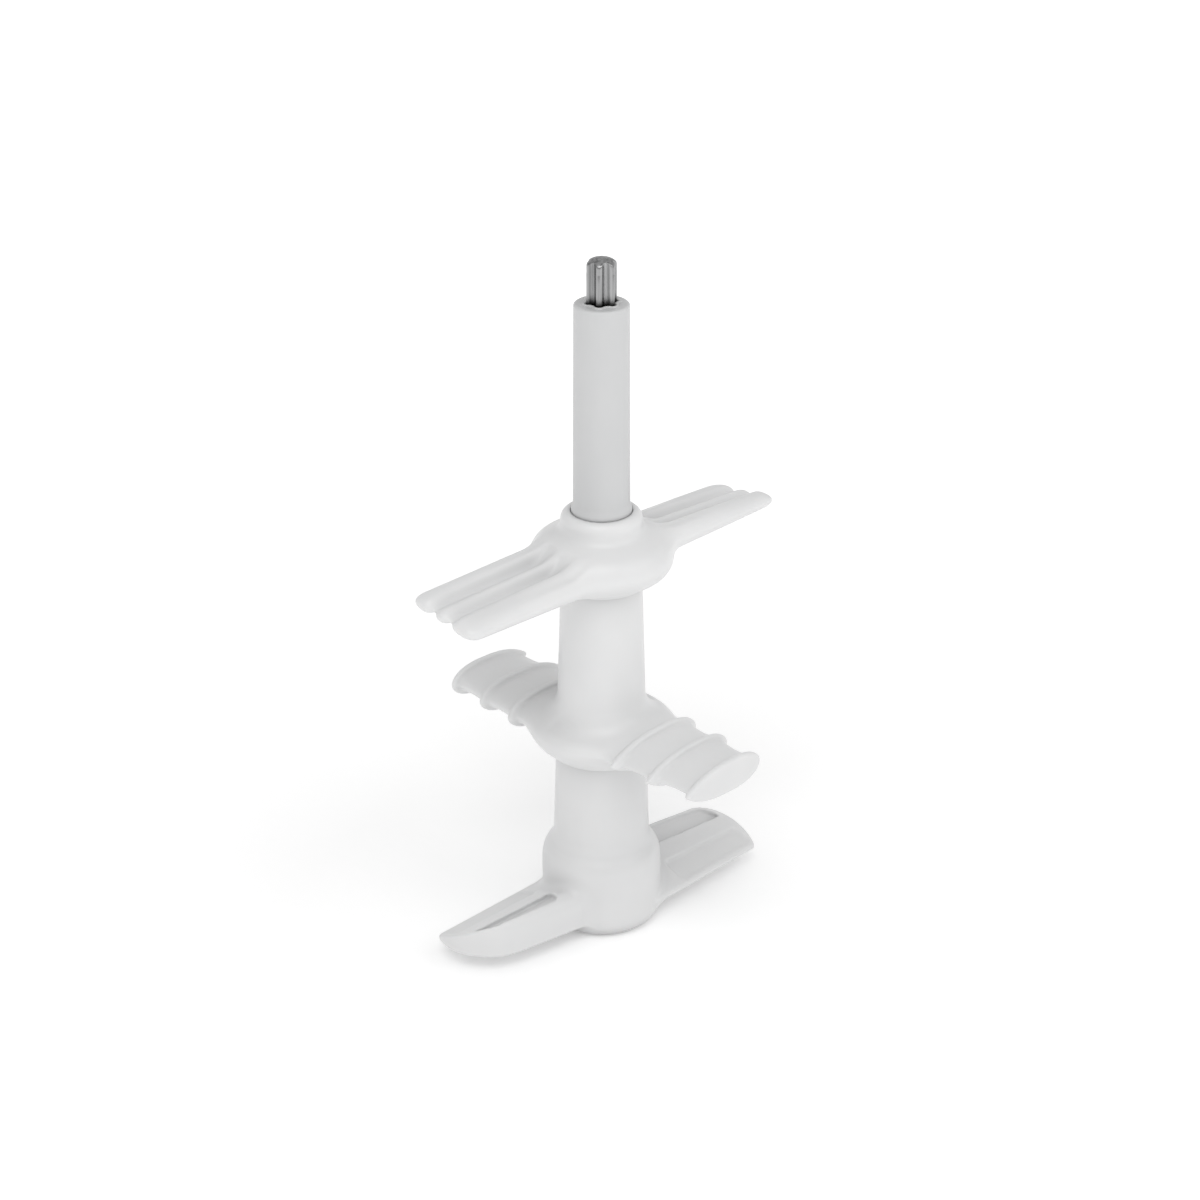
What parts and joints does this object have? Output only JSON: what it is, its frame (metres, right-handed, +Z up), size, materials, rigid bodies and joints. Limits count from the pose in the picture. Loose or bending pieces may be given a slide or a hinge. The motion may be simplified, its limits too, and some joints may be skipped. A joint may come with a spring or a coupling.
{
  "type": "three-stage mixing paddle",
  "caption": "Plastic mixing paddle with stacked bladed hubs on a fluted steel drive shaft, for stirring paste or mortar in a bench mixing bowl.",
  "frame": {"origin": "middle of the flat foot of the lower hub, on the axis of the drive shaft", "axes": "+Z up the shaft towards the domed drive end; the upper and lower blades lie along X and the middle blades along Y"},
  "size_m": [0.106, 0.0848, 0.1804],
  "materials": {
    "moulding": "milky white moulded plastic, satin",
    "sleeve": "light grey moulded plastic",
    "steel": "ground stainless steel",
    "rubber": "black rubber"
  },
  "bodies": {
    "root": {"drive_shaft": "steel", "drive_sleeve": "sleeve", "shaft_clip": "steel", "upper_paddle": "moulding", "middle_paddle": "moulding", "lower_paddle": "moulding", "sleeve_seal_ring": "rubber", "upper_seal_ring": "rubber", "lower_seal_ring": "rubber", "clamp_washer": "steel", "lock_washer": "steel", "clamp_screw": "steel", "foot_plug": "moulding"}
  },
  "joints": []
}
